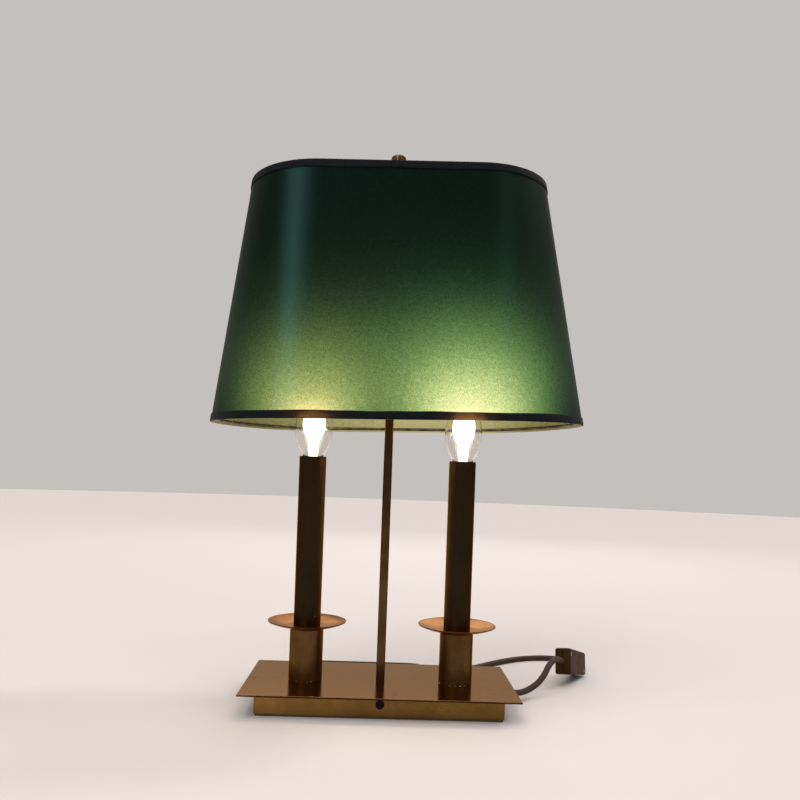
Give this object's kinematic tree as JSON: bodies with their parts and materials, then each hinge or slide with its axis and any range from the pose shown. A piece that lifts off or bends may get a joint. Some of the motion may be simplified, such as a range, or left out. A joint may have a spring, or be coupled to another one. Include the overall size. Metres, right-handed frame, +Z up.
{
  "type": "bouillotte lamp",
  "caption": "Bouillotte table lamp with brass candle lights on a plate base, a square stem, an oval paper shade that slides on it, and a mains lead with an inline rocker switch.",
  "frame": {"origin": "middle of the base on the surface it stands on", "axes": "+X to the viewer's right along the base, +Y away from the viewer, +Z up the stem"},
  "size_m": [0.4086, 0.2932, 0.5126],
  "materials": {
    "satin_brass": "satin, lightly tarnished",
    "bright_brass": "polished",
    "contact_brass": "plain",
    "plated_steel": "zinc plated",
    "black_screw": "blackened",
    "iron": "raw",
    "felt": "pressed felt",
    "holder_plastic": "moulded",
    "cap_metal": "nickel plated",
    "bulb_glass": "clear",
    "wire_insulation": "smooth",
    "shade_paper": "lacquered paper",
    "ribbon": "ribbed ribbon",
    "shade_wire": "brassed wire",
    "cord_sheath": "satin",
    "grommet_rubber": "matte",
    "terminal_plastic": "moulded",
    "switch_plastic": "moulded",
    "rocker_plastic": "moulded",
    "tie_band": "woven",
    "plug_plastic": "moulded",
    "pin_metal": "nickelled"
  },
  "bodies": {
    "lamp": {"base_plate": "satin_brass", "base_tray": "satin_brass", "left_cup": "satin_brass", "right_cup": "satin_brass", "left_drip_pan": "satin_brass", "right_drip_pan": "satin_brass", "left_candle_tube": "satin_brass", "right_candle_tube": "satin_brass", "stem": "satin_brass", "tray_lugs": "satin_brass", "holder_contacts": "contact_brass", "switch_contacts": "contact_brass", "left_holder_shell": "contact_brass", "right_holder_shell": "contact_brass", "ballast_screws": "plated_steel", "stem_nut": "plated_steel", "plate_washers": "plated_steel", "left_nipple": "plated_steel", "right_nipple": "plated_steel", "nipple_nuts": "plated_steel", "clamp_screws": "plated_steel", "switch_screws": "plated_steel", "rocker_pin": "plated_steel", "tray_screws": "black_screw", "ballast_plate": "iron", "base_felt": "felt", "left_lampholder": "holder_plastic", "right_lampholder": "holder_plastic", "left_bulb_cap": "cap_metal", "right_bulb_cap": "cap_metal", "left_bulb_glass": "bulb_glass", "right_bulb_glass": "bulb_glass", "left_bulb_mount": "bulb_glass", "right_bulb_mount": "bulb_glass", "left_wires": "wire_insulation", "right_wires": "wire_insulation", "cord_inner": "cord_sheath", "cord_lead": "cord_sheath", "cord_tail": "cord_sheath", "cord_hank": "cord_sheath", "cord_end": "cord_sheath", "cord_grommet": "grommet_rubber", "terminal_block": "terminal_plastic", "cord_clamp": "terminal_plastic", "switch_rocker_half": "switch_plastic", "switch_plain_half": "switch_plastic", "hank_tie": "tie_band", "plug_body": "plug_plastic", "plug_pins": "pin_metal"},
    "shade": {"shade_skin": "shade_paper", "shade_ribbon_top": "ribbon", "shade_ribbon_bottom": "ribbon", "shade_spider": "shade_wire", "shade_bottom_ring": "shade_wire", "shade_hub": "bright_brass", "hub_ring_nut": "bright_brass"},
    "lock_screw": {"shade_lock_screw": "bright_brass"},
    "finial": {"finial": "bright_brass"},
    "rocker": {"switch_rocker": "rocker_plastic"}
  },
  "joints": [
    {"name": "shade_height", "type": "slide", "parent": "lamp", "child": "shade", "axis": [0, 0, 1], "range_m": [-0.07, 0.012]},
    {"name": "lock_screw_turn", "type": "hinge", "parent": "shade", "child": "lock_screw", "pos_m": [0.0145, 0, 0.4695], "axis": [1, 0, 0], "range_deg": [0, 360]},
    {"name": "finial_turn", "type": "hinge", "parent": "lamp", "child": "finial", "pos_m": [0, 0, 0.505], "axis": [0, 0, 1], "continuous": true},
    {"name": "rocker_press", "type": "hinge", "parent": "lamp", "child": "rocker", "pos_m": [0.20201, 0.10074, 0.019], "axis": [0.0199, 0.2611, 0.9651], "range_deg": [-18, 0]}
  ]
}
